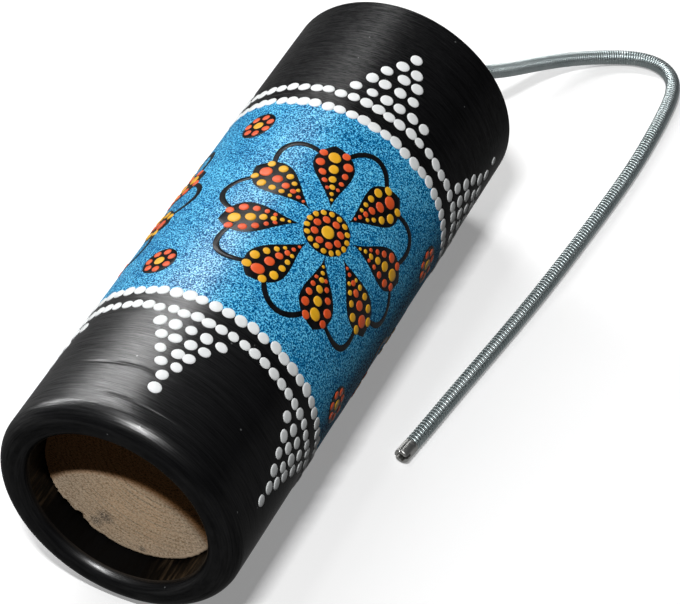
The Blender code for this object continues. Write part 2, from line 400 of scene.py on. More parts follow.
way, across, up = side_frames(middle)
step = spring_length / (len(middle) - 1)
bending = np.linalg.norm(np.gradient(way, axis=0), axis=1) / step
opened = np.clip((step * np.arange(len(middle)) - OPENS_AT[0]) / (OPENS_AT[1] - OPENS_AT[0]), 0, 1)
half_heights = TIGHT_HALF_HEIGHT + (WIRE_RADIUS - TIGHT_HALF_HEIGHT) * opened
turn_radius = SPRING_RADIUS - half_heights
pitch = CLOSE_PITCH + (OPEN_PITCH - CLOSE_PITCH) * opened
phase = np.cumsum(math.tau * step / (pitch * (1 + turn_radius * bending)))
outward = across * np.cos(phase)[:, None] + up * np.sin(phase)[:, None]
wound = middle + turn_radius[:, None] * outward
rings_of_wire = wire_rings(wound, outward, half_heights)
print("spring has", round(phase[-1] / math.tau), "turns")

# %% [markdown]
# ## Steel
# Drawn spring wire is bright but not a mirror. Fine scratches run along the wire, oil and dust
# dull it in patches, and the zinc gives it a faint cool tint. Noise in the roughness and a
# slight change of colour are enough, because the turns themselves make the stripes.

# %% Steel finish
def steel_finish(name, pale, dull, rough_low, rough_high):
    finish, tree, shader = new_finish(name)
    spot = places(tree)
    patches = grain(spot, 120, 3)
    scratches = grain(spot, 2600, 2, 0.7)
    rough = spread(scratches, rough_low, rough_high)
    dress(shader, two_tones(patches, dull, pale), rough, bump(scratches, 0.15, 0.00005))
    plug(shader, {"Metallic": 1.0})
    return finish


spring_steel = steel_finish("spring_steel", (0.54, 0.60, 0.605), (0.42, 0.48, 0.485), 0.34, 0.48)
print("steel mixed")

# %% [markdown]
# ## Neck and run of the spring
# On the real spring only the first turns outside the head bend when it swings, so they are a
# piece of their own, the neck, and the long run is a second piece. One piece would be simpler,
# but a blend is measured along one straight line, and would also bend the run beside the tube.
# Both are cut from the same rings of points, so no seam shows.

# %% Neck and run
NECK_END = 0.1125


def band(low, high, count):
    return [(low + k, low + (k + 1) % count, high + (k + 1) % count, high + k) for k in range(count)]


def ringed(name, rings, finish):
    count, sides = rings.shape[:2]
    last = (count - 1) * sides
    faces = []
    for low in range(0, last, sides):
        faces += band(low, low + sides, sides)
    faces.append(tuple(range(sides))[::-1])
    faces.append(tuple(range(last, last + sides)))
    mesh = bpy.data.meshes.new(name)
    mesh.from_pydata(rings.reshape(-1, 3).tolist(), [], faces)
    mesh.shade_smooth()
    for cap in mesh.polygons[-2:]:
        cap.use_smooth = False
    mesh.materials.append(finish)
    return added(name, mesh)


neck_rings = int(np.argmax(middle[:, 1] > NECK_END))
spring_neck = ringed("spring_neck", rings_of_wire[: neck_rings + 1], spring_steel)
steel_spring = ringed("steel_spring", rings_of_wire[neck_rings:], spring_steel)
for piece in (spring_neck, steel_spring):
    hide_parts("spring_coil")
print("neck has", round(phase[neck_rings] / math.tau, 1), "turns")

# %% [markdown]
# ## The sleeve on the spring's end
# The free end is held in a short open sleeve with a seam along its top and a saw slot across its
# end. A Screw modifier would make it quite round, so it is built ring by ring from an outline,
# which lets the seam dip in. A Boolean with a thin block cuts the slot, as the saw did.

# %% Sleeve
SLEEVE_LENGTH = 0.0062
SLEEVE_GAP = 0.0003
SLEEVE_SIDES = 168
NOSE_ROUND = 0.0006
HOLE_RADIUS = 0.0013
HOLE_DEPTH = 0.0030
HOLE_ROUND = 0.0002
GROOVE_DEPTH = 0.00006
SEAM_DEG = 101
SEAM_WIDTH = 0.00036
SEAM_DEPTH = 0.00030
sleeve_way = Vector(ROUTE_END).normalized()
sleeve_turn = sleeve_way.to_track_quat("Z", "Y").to_matrix().to_4x4()
sleeve_place = Matrix.Translation(Vector(ROUTE[-1]) + sleeve_way * SLEEVE_GAP) @ sleeve_turn


def arc(centre, radius, start_deg, end_deg, steps):
    turns = np.radians(np.linspace(start_deg, end_deg, steps + 1))
    return [(centre[0] + radius * math.cos(a), centre[1] + radius * math.sin(a)) for a in turns]


def seam_dip(angle):
    aside = (angle - math.radians(SEAM_DEG)) * SPRING_RADIUS
    return SEAM_DEPTH * math.exp(-((aside / SEAM_WIDTH) ** 2))


def sleeve_ring(radius, along):
    ring = []
    for k in range(SLEEVE_SIDES):
        a = math.tau * k / SLEEVE_SIDES
        r = radius - seam_dip(a) * (radius > HOLE_RADIUS + HOLE_ROUND)
        ring.append((r * math.cos(a), r * math.sin(a), along))
    return ring


outline = [(SPRING_RADIUS - 0.0003, 0.0), (SPRING_RADIUS - 0.0001, 0.0001), (SPRING_RADIUS, 0.0003)]
outline += [(SPRING_RADIUS, 0.0012), (SPRING_RADIUS - GROOVE_DEPTH, 0.0014), (SPRING_RADIUS, 0.0016)]
outline += arc((SPRING_RADIUS - NOSE_ROUND, SLEEVE_LENGTH - NOSE_ROUND), NOSE_ROUND, 0, 90, 8)
outline += [(HOLE_RADIUS + HOLE_ROUND, SLEEVE_LENGTH), (HOLE_RADIUS, SLEEVE_LENGTH - HOLE_ROUND)]
outline += [(HOLE_RADIUS, SLEEVE_LENGTH - HOLE_DEPTH)]
sleeve_steel = steel_finish("sleeve_steel", (0.66, 0.66, 0.64), (0.50, 0.50, 0.48), 0.28, 0.42)
end_sleeve = ringed("end_sleeve", np.array([sleeve_ring(*point) for point in outline]), sleeve_steel)
print("sleeve is", SLEEVE_LENGTH * 1000, "mm long")

# %% Saw slot of the sleeve
SLOT_WIDTH = 0.0009
SLOT_DEPTH = 0.0020
SLOT_TURN_DEG = 20
SLEEVE_CREASE_DEG = 35
saw_mesh = bpy.data.meshes.new("saw_block")
saw_bm = bmesh.new()
bmesh.ops.create_cube(saw_bm, size=1.0)
saw_size = Matrix.Diagonal((4 * SPRING_RADIUS, SLOT_WIDTH, 2 * SLOT_DEPTH, 1))
saw_turn = Matrix.Rotation(math.radians(SLOT_TURN_DEG), 4, "Z")
saw_place = Matrix.Translation((0, 0, SLEEVE_LENGTH)) @ saw_turn @ saw_size
bmesh.ops.transform(saw_bm, matrix=saw_place, verts=saw_bm.verts)
saw_bm.to_mesh(saw_mesh)
saw_bm.free()
saw_block = added("saw_block", saw_mesh)
cut = end_sleeve.modifiers.new("slot", "BOOLEAN")
cut.operation = "DIFFERENCE"
cut.solver = "EXACT"
cut.object = saw_block
bpy.context.view_layer.update()
sawn = end_sleeve.evaluated_get(bpy.context.evaluated_depsgraph_get())
cut_sleeve = bpy.data.meshes.new_from_object(sawn)
end_sleeve.modifiers.clear()
end_sleeve.data = cut_sleeve
bpy.data.objects.remove(saw_block)
cut_sleeve.shade_smooth()
cut_sleeve.set_sharp_from_angle(angle=math.radians(SLEEVE_CREASE_DEG))
end_sleeve.matrix_world = sleeve_place
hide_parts("tip_ferrule")
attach(end_sleeve, "spring")
print("sleeve has", len(cut_sleeve.polygons), "faces")

# %% Join the spring to what moves
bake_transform(spring_neck)
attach(steel_spring, "spring")

# %% [markdown]
# ## Light on the spring
# In the picture the spring's left side is bright, though the tube stands between it and the
# lamps on the left. More light everywhere would spoil the paint. Light linking, which says which
# pieces a lamp lights and which ones shade it, gives the spring a strip of its own instead of
# the leaning strip.

# %% A strip of light for the spring
SPRING_RUN = (0.06, 0.05, SPRING_HEIGHT)
SPRING_LAMP = (-0.80, 0.84, 0.50)
spring_strip = soft_box("spring_strip", SPRING_LAMP, SPRING_RUN, (0.50, 0, 0.866), 1.0, 0.25, watts=13.0)
spring_pieces = bpy.data.collections.new("spring_pieces")
other_pieces = bpy.data.collections.new("other_pieces")
for piece in (spring_neck, steel_spring, end_sleeve):
    spring_pieces.objects.link(piece)
    other_pieces.objects.link(piece)
for entry in other_pieces.collection_objects:
    entry.light_linking.link_state = "EXCLUDE"
spring_strip.light_linking.receiver_collection = spring_pieces
spring_strip.light_linking.blocker_collection = spring_pieces
leaning_strip.light_linking.receiver_collection = other_pieces

# %% [markdown]
# ## The wooden tube
# The tube is turned on a lathe, so its shape is one outline spun round the axis: a square far
# end, a long side, and a near rim rolled over like a doughnut. It could be a Screw modifier, but
# a hand-finished tube is never quite true. Spinning the outline in code lets each point move a
# little, with two shallow tool marks near the rim.

# %% Outline of the tube
RIM_OUTER = 0.0063
RIM_INNER = 0.0037
HEAD_LEDGE = 0.0959
REBATE_RADIUS = 0.0335
FAR_ROUND = 0.0008
BORE_STATIONS = [-0.0925, -0.0883, -0.0760, HEAD_LEDGE]
SKIN_UNEVEN = 0.00008
TOOL_MARKS = [(-0.0899, 72, 32, 0.00022), (-0.0776, 94, 28, 0.00016)]
MARK_HALF = 0.0005
MARK_WANDER = 0.0006
MARK_STRETCHES = [(-0.0925, -0.0865), (-0.0800, -0.0750)]
MARK_SPACING = 0.0002
SIDE_SPACING = 0.0025
RIM_PLAY = 0.0003


def skin_radius(angle, along):
    spot = Vector((math.cos(angle) * 1.6, along * 30, math.sin(angle) * 1.6))
    radius = TUBE_RADIUS + SKIN_UNEVEN * noise.noise(spot)
    turn = math.degrees(math.atan2(math.sin(angle), math.cos(angle)))
    for place, middle_deg, spread_deg, depth in TOOL_MARKS:
        fade = max(0.0, 1 - ((turn - middle_deg) / spread_deg) ** 2)
        wander = place + MARK_WANDER * noise.noise(Vector((angle * 2.2, place * 50, 3.0)))
        radius -= depth * fade * math.exp(-(((along - wander) / MARK_HALF) ** 2))
    return radius


def side_stations():
    marks = np.concatenate([np.arange(start, end, MARK_SPACING) for start, end in MARK_STRETCHES])
    plain = np.arange(NEAR_END + RIM_OUTER, FAR_END - FAR_ROUND, SIDE_SPACING)
    both = np.unique(np.round(np.concatenate([marks, plain]), 6))
    return sorted(both[both > NEAR_END + RIM_OUTER + RIM_PLAY], reverse=True)


outline = arc((TUBE_RADIUS - FAR_ROUND, FAR_END - FAR_ROUND), FAR_ROUND, 90, 0, 4)
outline += [(TUBE_RADIUS, along) for along in side_stations()]
outline += arc((TUBE_RADIUS - RIM_OUTER, NEAR_END + RIM_OUTER), RIM_OUTER, 0, -90, 16)
outline += arc((BORE_RADIUS + RIM_INNER, NEAR_END + RIM_INNER), RIM_INNER, -90, -180, 10)[1:]
outline += [(BORE_RADIUS, along) for along in BORE_STATIONS]
outline += [(REBATE_RADIUS, HEAD_LEDGE), (REBATE_RADIUS, FAR_END)]
print("outline has", len(outline), "points")

# %% Spin the outline
TUBE_SIDES = 224
WOOD_CREASE_DEG = 40
BORE_UNEVEN = 0.00006
SKIN_PLAY = 0.0001


def built(name, verts, faces, crease_deg):
    mesh = bpy.data.meshes.new(name)
    mesh.from_pydata(verts, [], faces)
    bm = bmesh.new()
    bm.from_mesh(mesh)
    bmesh.ops.recalc_face_normals(bm, faces=bm.faces)
    bm.to_mesh(mesh)
    bm.free()
    mesh.shade_smooth()
    mesh.set_sharp_from_angle(angle=math.radians(crease_deg))
    return added(name, mesh)


def spun(name, profile, sides, shift=None):
    verts = []
    for k in range(sides):
        a = math.tau * k / sides
        for radius, along in profile:
            r = shift(a, radius, along) if shift else radius
            verts.append((r * math.cos(a), along, AXIS_HEIGHT + r * math.sin(a)))
    rows = len(profile)
    faces = []
    for k in range(sides):
        faces += band(k * rows, (k + 1) % sides * rows, rows)
    return built(name, verts, faces, WOOD_CREASE_DEG)


def worn(angle, radius, along):
    if radius < TUBE_RADIUS - SKIN_PLAY:
        spot = Vector((math.cos(angle) * 3, along * 60, math.sin(angle) * 3))
        return radius + BORE_UNEVEN * noise.noise(spot)
    return skin_radius(angle, along)


wooden_tube = spun("wooden_tube", outline, TUBE_SIDES, worn)
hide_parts("body_tube")
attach(wooden_tube, "tube")
print("tube has", len(wooden_tube.data.polygons), "faces")

# %% [markdown]
# ## The paint
# Both ends are brushed black, with streaks that run round the tube, and the band between them is
# blue, flicked with paler and darker specks. One material does both: the place along the tube
# decides which paint shows, with a slightly wavering edge that the white dots later cover.
# Streaks come from a noise squeezed along the tube, so that it runs long round it. Over it lies
# a thin glossy coat, fuller on the upper side that hands rub. Towards the far end it is thinner,
# and scuffs break it up more.

# %% Black and blue
BLACKS = [(0.32, (0.0015, 0.0015, 0.0017)), (0.70, (0.0060, 0.0060, 0.0066))]
DUST_GREY = (0.32, 0.33, 0.33)
BLUES = [
    (0.41, (0.001, 0.055, 0.165)),
    (0.47, (0.001, 0.155, 0.395)),
    (0.53, (0.006, 0.290, 0.600)),
    (0.59, (0.190, 0.670, 0.920)),
]
paint, tree, shader = new_finish("brushed_and_flicked_paint")
spot = places(tree)
streaks = grain(places(tree, (1, 22, 1)), 40, 6, 0.66)
hairs = grain(places(tree, (1, 34, 1)), 90, 4, 0.6)
flecks = stretched(cells(spot, 150), 0.035, 0.05, 0.35, 0.0)
black = mixed(flecks, ramp(streaks, BLACKS), DUST_GREY)
specks = grain(spot, 2050, 2, 0.6)
clouds = spread(grain(spot, 90, 3), -0.03, 0.03)
blue = ramp(maths("ADD", specks, clouds), BLUES)
print("blue flicked in", len(BLUES), "tones")

# %% Where each paint shows
BAND_NEAR = -0.0459
BAND_FAR = 0.0463
EDGE_WAVER = 0.0005
EDGE_SOFT = 0.0001
along = put(tree, "ShaderNodeSeparateXYZ", {"Vector": spot}).outputs["Y"]
waver = stretched(grain(spot, 160), 0, 1, -EDGE_WAVER, EDGE_WAVER)
off_middle = maths("SUBTRACT", maths("ADD", along, waver), (BAND_NEAR + BAND_FAR) / 2)
half_band = (BAND_FAR - BAND_NEAR) / 2
distance = maths("ABSOLUTE", off_middle)
at_ends = stretched(distance, half_band - EDGE_SOFT, half_band + EDGE_SOFT, 0, 1)
satin = spread(hairs, 0.24, 0.42)
matt = spread(specks, 0.40, 0.55)
relief = bump(mixed_value(at_ends, specks, hairs), 0.35, 0.00014)
dress(shader, mixed(at_ends, blue, black), mixed_value(at_ends, matt, satin), relief, shine=0.01)
print("blue band is", round((BAND_FAR - BAND_NEAR) * 1000, 1), "mm wide")

# %% Gloss of the paint
HELD_SIDE = (-0.342, 0.0, 0.940)
brushed_gloss = stretched(hairs, 0.32, 0.68, 0.12, 0.40)
scuffs = grain(places(tree, (2.4, 13, 2.4)), 130, 5, 0.75)
scuffed = stretched(scuffs, 0.38, 0.64, 0.50, 1.55)
rougher = stretched(along, BAND_NEAR, BAND_FAR, 0.25, 1.0)
brushed_gloss = maths("MULTIPLY", brushed_gloss, mixed_value(rougher, 1.0, scuffed))
flicked_gloss = stretched(specks, 0.40, 0.60, 0.0, 0.42)
gloss = mixed_value(at_ends, flicked_gloss, brushed_gloss)
held = vector_maths("DOT_PRODUCT", put(tree, "ShaderNodeTexCoord").outputs["Normal"], HELD_SIDE)
gloss = maths("MULTIPLY", gloss, stretched(held, 0.30, 0.80, 0.25, 1.0))
gloss = maths("MULTIPLY", gloss, stretched(along, BAND_NEAR, BAND_FAR, 1.0, 0.55))
plug(shader, {"Coat Weight": gloss, "Coat Normal": relief, "Coat Roughness": 0.31, "Coat IOR": 3.0})
wooden_tube.data.materials.append(paint)
print("paint mixed")

# %% [markdown]
# ## The mouth
# Inside the rim the bore is raw wood with rasp marks along it, blackened by stray paint that
# thins out to the sides. Its roof stayed clean, and throws a little warm light on the plug. A
# noise that changes fast round the bore and slowly along it makes the marks.

# %% Bore finish
STRAY_BLACK = (0.0012, 0.0010, 0.0009)
RASPED_BROWNS = [(0.40, (0.020, 0.012, 0.006)), (0.66, (0.095, 0.062, 0.034))]
CLEAN_BROWNS = [(0.40, (0.42, 0.19, 0.06)), (0.66, (0.66, 0.33, 0.12))]
BARE_SHARES = [(0.0, 0.8), (0.03, 0.4), (0.07, 0), (0.58, 0), (0.72, 0.4), (1.0, 0.8)]
ROOF_FROM = AXIS_HEIGHT + 0.0135
ROOF_TO = AXIS_HEIGHT + 0.0210
bore_wood, tree, shader = new_finish("rasped_bore_wood")
spot = places(tree)
marks = grain(places(tree, (1, 0.12, 1)), 620, 3, 0.65)
stray = grain(spot, 55, 2)
bore_place = put(tree, "ShaderNodeSeparateXYZ", {"Vector": spot}).outputs
share = stretched(bore_place["X"], -BORE_RADIUS, BORE_RADIUS, 0, 1)
bare = ramp(share, [(place, (amount,) * 3) for place, amount in BARE_SHARES])
bare = maths("MULTIPLY", bare, stretched(marks, 0.42, 0.62, 0.0, 1.0), use_clamp=True)
bare = maths("MULTIPLY", bare, spread(stray, 0.4, 1.2))
colour = mixed(bare, STRAY_BLACK, ramp(marks, RASPED_BROWNS))
roof = stretched(bore_place["Z"], ROOF_FROM, ROOF_TO, 0.0, 1.0)
colour = mixed(roof, colour, ramp(marks, CLEAN_BROWNS))
dress(shader, colour, spread(marks, 0.35, 0.8), bump(marks, 0.5, 0.0003), shine=0.06)
wooden_tube.data.materials.append(bore_wood)

BORE_START = -0.0955
BORE_PLAY = 0.0004
inside = 0
for face in wooden_tube.data.polygons:
    reach = math.hypot(face.center.x, face.center.z - AXIS_HEIGHT)
    if reach < BORE_RADIUS + BORE_PLAY and face.center.y > BORE_START:
        face.material_index = 1
        inside += 1
print(inside, "faces of bare bore")

# %% [markdown]
# ## The plug
# A sawn disc of end grain closes the near end. Its edge is ragged and chipped low on the left,
# and a paler ring round it is a painted highlight, where the edge catches the light. A cylinder
# would be too clean, so it is a polar grid, whose edge can break and whose sawn face can wave.

# %% Plug shape
PLUG_FACE = -0.0883
PLUG_BACK = -0.0763
PLUG_RADIUS = 0.0287
PLUG_PLAY = 0.0003
PLUG_SIDES = 360
PLUG_RINGS = [0.12, 0.25, 0.38, 0.5, 0.62, 0.73, 0.83, 0.91, 0.96, 0.985, 1.0]
PLUG_CHIPS = [(214, 236, 0.0007), (224, 231, 0.0008), (226, 229, 0.0004)]
PLUG_CHIPS += [(205, 208, 0.0003), (246, 249, 0.0003)]
EDGE_WAVES = [(0.00020, 6, 0.5), (0.00022, 70, 4.5)]
FACE_DEPTH = 0.0001
FACE_WAVE = 0.00010
EDGE_ROUND = 0.00025
BACK_SWELL = 0.0002


def torn(angle, scale, seed):
    return noise.noise(Vector((math.cos(angle) * scale, math.sin(angle) * scale, seed)))


def plug_edge(angle):
    ragged = sum(depth * torn(angle, scale, seed) for depth, scale, seed in EDGE_WAVES)
    turn = math.degrees(angle) % 360
    chip = sum(depth for start, end, depth in PLUG_CHIPS if start < turn < end)
    return PLUG_RADIUS - PLUG_PLAY + ragged - chip


plug_turns = [math.tau * k / PLUG_SIDES for k in range(PLUG_SIDES)]
verts = [(0, PLUG_FACE, AXIS_HEIGHT)]
for share in PLUG_RINGS:
    for a in plug_turns:
        r = plug_edge(a) * share
        spot = Vector((r * math.cos(a), 0, r * math.sin(a)))
        wave = FACE_WAVE * noise.noise(spot * 160) + (EDGE_ROUND if share == 1.0 else 0)
        verts.append((spot.x, PLUG_FACE + FACE_DEPTH + wave, AXIS_HEIGHT + spot.z))
for a in plug_turns:
    r = min(plug_edge(a) + BACK_SWELL, PLUG_RADIUS)
    verts.append((r * math.cos(a), PLUG_BACK, AXIS_HEIGHT + r * math.sin(a)))
faces = [(0, 1 + k, 1 + (k + 1) % PLUG_SIDES) for k in range(PLUG_SIDES)]
last = 1 + len(PLUG_RINGS) * PLUG_SIDES
for low in range(1, last, PLUG_SIDES):
    faces += band(low, low + PLUG_SIDES, PLUG_SIDES)
faces.append(tuple(range(last, last + PLUG_SIDES)))
wooden_plug = built("wooden_plug", verts, faces, WOOD_CREASE_DEG)
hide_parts("end_plug")
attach(wooden_plug, "tube")
print("plug has", len(wooden_plug.data.polygons), "faces")

# %% [markdown]
# ## End grain
# Cut across, wood shows its growth rings as wide arcs, crossed by pores, with fine saw fuzz over
# everything. A wave texture makes rings too even, so they are a noise that changes only with
# the distance from the tree's middle, high in the disc. The pores come from small cells, a few
# dark stains sit low on the left, and the part in the rim's shadow gets painted shade, a brown wash.

# %% Rings, pores and saw fuzz
PITH = (0.010, PLUG_FACE, AXIS_HEIGHT + 0.014)
WARM_MIDDLE = (0.001, PLUG_FACE, AXIS_HEIGHT - 0.009)
RING_WARP = 0.0006
GREY_TAN = (0.72, 0.545, 0.39)
WARM_TAN = (0.93, 0.615, 0.36)
BLOTCH_TAN = (0.56, 0.36, 0.20)
RING_BROWN = (0.34, 0.21, 0.115)
PORE_BROWN = (0.27, 0.18, 0.11)
FUZZ_PALE = (0.96, 0.80, 0.60)
FUZZ_DARK = (0.30, 0.20, 0.12)
end_grain, tree, shader = new_finish("sawn_end_grain")
spot = places(tree)
blotch = grain(spot, 130, 3, 0.6)
saw = grain(places(tree, (0.8, 1, 1.3)), 1700, 3, 0.7)
warp = stretched(blotch, 0, 1, -RING_WARP, RING_WARP)
ring_place = maths("ADD", vector_maths("DISTANCE", spot, PITH), warp)
ring_plugs = {"W": ring_place, "Scale": 800.0, "Detail": 3.0, "Roughness": 0.6}
rings = put(tree, "ShaderNodeTexNoise", ring_plugs, noise_dimensions="1D").outputs["Fac"]
broken = stretched(grain(spot, 300, 2), 0.36, 0.58, 0.40, 1.0)
lines = maths("MULTIPLY", stretched(rings, 0.50, 0.64, 0.0, 0.85), broken)
warm = stretched(vector_maths("DISTANCE", spot, WARM_MIDDLE), 0.008, 0.024, 1.0, 0.0)
wood = mixed(warm, GREY_TAN, WARM_TAN)
wood = mixed(stretched(blotch, 0.38, 0.62, 0.40, 0.0), wood, BLOTCH_TAN)
wood = mixed(lines, wood, RING_BROWN)
wood = mixed(stretched(cells(spot, 1350), 0.10, 0.36, 0.60, 0.0), wood, PORE_BROWN)
wood = mixed(stretched(saw, 0.45, 0.60, 0.0, 0.85), wood, FUZZ_PALE)
wood = mixed(stretched(saw, 0.36, 0.47, 0.70, 0.0), wood, FUZZ_DARK)
print("growth rings about x", PITH[0], "z", round(PITH[2], 4))

# %% Stains, painted edge highlight and painted shade
# The lit disc is where the rim's shadow does not fall; painted shade darkens the plug outside it.
PLUG_MIDDLE = (0, PLUG_FACE, AXIS_HEIGHT)
LIT_DISC_MIDDLE = (-0.003, PLUG_FACE, AXIS_HEIGHT - 0.0295)
LIT_DISC_REACH = 0.0306
PAINTED_SHADE_FADE = 0.0027
# Where the painted highlight round the plug's edge lies.
EDGE_HIGHLIGHT_FROM = PLUG_RADIUS - 0.0019
EDGE_HIGHLIGHT_TO = PLUG_RADIUS - 0.0010
STAINS = [(-0.0096, -0.0172, 0.0036), (-0.0128, -0.0205, 0.0028), (0.0022, -0.0258, 0.0016)]
STAIN_BLACK = (0.13, 0.11, 0.095)
EDGE_HIGHLIGHT_PALE = (1.0, 0.77, 0.54)
PAINTED_SHADE_BROWN = (0.95, 0.58, 0.30)
specked = stretched(saw, 0.44, 0.58, 0.95, 0.10)
for stain_across, stain_up, stain_size in STAINS:
    stain_place = (stain_across, PLUG_FACE, AXIS_HEIGHT + stain_up)
    reach = vector_maths("DISTANCE", spot, stain_place)
    near = stretched(reach, stain_size * 0.3, stain_size, 1.0, 0.0)
    wood = mixed(maths("MULTIPLY", near, specked), wood, STAIN_BLACK)
# Painted highlight: a paler ring round the plug's edge, where the edge catches the light.
reach = vector_maths("DISTANCE", spot, PLUG_MIDDLE)
painted_edge_highlight = stretched(reach, EDGE_HIGHLIGHT_FROM, EDGE_HIGHLIGHT_TO, 0.0, 0.85)
wood = mixed(painted_edge_highlight, wood, EDGE_HIGHLIGHT_PALE)
# Painted shade: outside the lit disc, where the rim's shadow falls, a brown wash darkens the wood.
reach = vector_maths("DISTANCE", spot, LIT_DISC_MIDDLE)
painted_shade_part = stretched(reach, LIT_DISC_REACH, LIT_DISC_REACH + PAINTED_SHADE_FADE, 0.0, 0.9)
wood = mixed(painted_shade_part, wood, PAINTED_SHADE_BROWN, "MULTIPLY")
dress(shader, wood, stretched(saw, 0.2, 0.8, 0.65, 0.9), bump(saw, 0.45, 0.00016), shine=0.0)
wooden_plug.data.materials.append(end_grain)
print("end grain on the plug")

# %% [markdown]
# ## Raised paint dots
# The dots are drops of thick paint, set down by hand with a stick. Each one is a low dome on the
# tube's skin, a little larger or smaller than the next and never quite on its mark. A helper
# wraps flat places (arc length round the tube, distance along it) on to the tube, so a pattern
# can be laid out flat.

# %% Dot helpers
DOME = [(1.0, 0.0), (0.96, 0.42), (0.86, 0.74), (0.66, 0.93), (0.35, 1.0)]
DOT_SIDES = 16
DOT_HEIGHT = 0.00034
DOT_EGG = 0.07
DOT_CREASE_DEG = 62
FOOT_DEPTH = 0.0002
hand = random.Random(7)


def jitter(amount):
    return hand.uniform(-amount, amount)


def wrap(across, along, lift):
    angle = across / TUBE_RADIUS
    radius = skin_radius(angle, along) + lift
    return (radius * math.cos(angle), along, max(0.0, AXIS_HEIGHT + radius * math.sin(angle)))


def add_dot(shape, across, along, half_across, half_along, height=DOT_HEIGHT, sides=DOT_SIDES):
    verts, faces = shape
    first = len(verts)
    twist = hand.uniform(0, math.tau)
    egg = jitter(DOT_EGG)
    for share, rise in DOME:
        lift = height * rise if rise else -FOOT_DEPTH
        for k in range(sides):
            a = math.tau * k / sides
            size = share * (1 + egg * math.cos(2 * a + twist))
            place = (across + half_across * size * math.cos(a), along + half_along * size * math.sin(a))
            verts.append(wrap(*place, lift))
    verts.append(wrap(across, along, height))
    top = len(verts) - 1
    last = top - sides
    for low in range(first, last, sides):
        faces += band(low, low + sides, sides)
    for k in range(sides):
        faces.append((last + k, top, last + (k + 1) % sides))
    faces.append(tuple(range(first, first + sides)))


def laid_on(name, shape, finish):
    obj = built(name, *shape, DOT_CREASE_DEG)
    obj.data.materials.append(finish)
    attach(obj, "tube")


print("a dot is", DOT_HEIGHT * 1000, "mm high")


# %% Dot paint
def dot_finish(name, pale, deep, rough):
    finish, tree, shader = new_finish(name)
    spot = places(tree)
    clouds = grain(spot, 240, 2)
    fine = grain(spot, 1500, 2)
    colour = two_tones(clouds, deep, pale)
    dress(shader, colour, spread(fine, rough, rough + 0.14), bump(fine, 0.30, 0.00012), shine=0.45)
    return finish


white_paint = dot_finish("white_dot_paint", (0.85, 0.87, 0.87), (0.74, 0.76, 0.76), 0.36)
orange_paint = dot_finish("orange_dot_paint", (0.80, 0.115, 0.022), (0.68, 0.075, 0.014), 0.34)
yellow_paint = dot_finish("yellow_dot_paint", (0.84, 0.46, 0.018), (0.74, 0.36, 0.010), 0.34)
print("dot paints mixed")

# %% [markdown]
# ## Rows and triangles of white dots
# Four rows of white dots ring the tube, two at each edge of the blue band, and five triangles
# of dots point from them towards each end. Rows and triangles like these are an old and
# common border, so they follow the picture.

# %% Rows
ROWS = [
    (-0.0527, 62, 0.00202, 0.00178),
    (-0.0459, 58, 0.00217, 0.00198),
    (0.0463, 60, 0.00217, 0.00192),
    (0.0536, 58, 0.00208, 0.00183),
]
round_tube = math.tau * TUBE_RADIUS
white_rows = ([], [])
for place, count, half_across, half_along in ROWS:
    start = hand.uniform(0, 1)
    for k in range(count):
        size = 1 + jitter(0.09)
        dot_across = round_tube * (k + start + jitter(0.07)) / count
        dot_along = place + jitter(0.00035)
        add_dot(white_rows, dot_across, dot_along, half_across * size, half_along * size)
laid_on("white_rows", white_rows, white_paint)
print("white dots:", sum(row[1] for row in ROWS), "in rows")

# %% Triangles
NEAR_TRIANGLE = [
    (-0.0581, [-15.5, -8.0, -1.0, 6.8, 14.0]),
    (-0.0630, [-11.2, -4.4, 2.6, 9.2]),
    (-0.0678, [-7.9, 0.1, 5.4]),
    (-0.0725, [-4.2, 3.2]),
    (-0.0769, [0.0]),
    (-0.0819, [0.2]),
]
FAR_TRIANGLE = [
    (0.0589, [-16.6, -8.6, -1.2, 5.7, 13.2, 20.4]),
    (0.0645, [-12.6, -5.7, 2.0, 9.5]),
    (0.0700, [-8.8, 0.4, 7.3]),
    (0.0748, [-3.7, 3.9]),
    (0.0804, [0.0]),
]
NEAR_MIDDLES = [(81.3, 0.0), (9.3, 0.0), (-61.4, 0.6), (-132.0, -0.5), (154.5, 3.5)]
FAR_MIDDLES = [(68.8, 0.0), (-3.2, 0.0), (-65.5, -0.6), (-127.8, 0.5), (170.0, 0.4)]
TRIANGLES = [(NEAR_TRIANGLE, NEAR_MIDDLES, 0.00204), (FAR_TRIANGLE, FAR_MIDDLES, 0.00202)]
LONE_DOT_DEG = FAR_MIDDLES[1][0] + 1.5
LONE_DOT_ALONG = 0.0862
LONE_DOT_RADIUS = 0.0014
white_triangles = ([], [])
for rows, middles, size in TRIANGLES:
    for middle_deg, lean_deg in middles:
        for row, (place, steps) in enumerate(rows):
            for step_deg in steps:
                turn_deg = middle_deg + lean_deg * row - step_deg
                dot_across = math.radians(turn_deg) * TUBE_RADIUS + jitter(0.0002)
                grow = size * (1 + jitter(0.10))
                add_dot(white_triangles, dot_across, place + jitter(0.0002), grow, grow * 0.93)
lone_across = math.radians(LONE_DOT_DEG) * TUBE_RADIUS
add_dot(white_triangles, lone_across, LONE_DOT_ALONG, LONE_DOT_RADIUS, LONE_DOT_RADIUS)
laid_on("white_triangles", white_triangles, white_paint)
print("triangles:", len(NEAR_MIDDLES), "near,", len(FAR_MIDDLES), "far")

# %% [markdown]
# ## The painted flowers
# The blue band carries big dot flowers in black, orange and yellow, with small rosettes between.
# Each petal is a black teardrop with lines of dots that grow towards its tip, round a middle of
# ringed dots, with a looped black line outside. The black shapes are thin layers of paint with a
# real edge, swept along a line with a changing width, so they also show on the exported mesh.

# %% Black strokes
PAINT_LIFT = 0.00013
SECTION = [(-1.0, 0.00004), (-0.8, 0.00010), (0.0, PAINT_LIFT), (0.8, 0.00010), (1.0, 0.00004)]
SECTION += [(1.0, -FOOT_DEPTH), (-1.0, -FOOT_DEPTH)]
black_shapes = ([], [])
orange_dots = ([], [])
yellow_dots = ([], [])


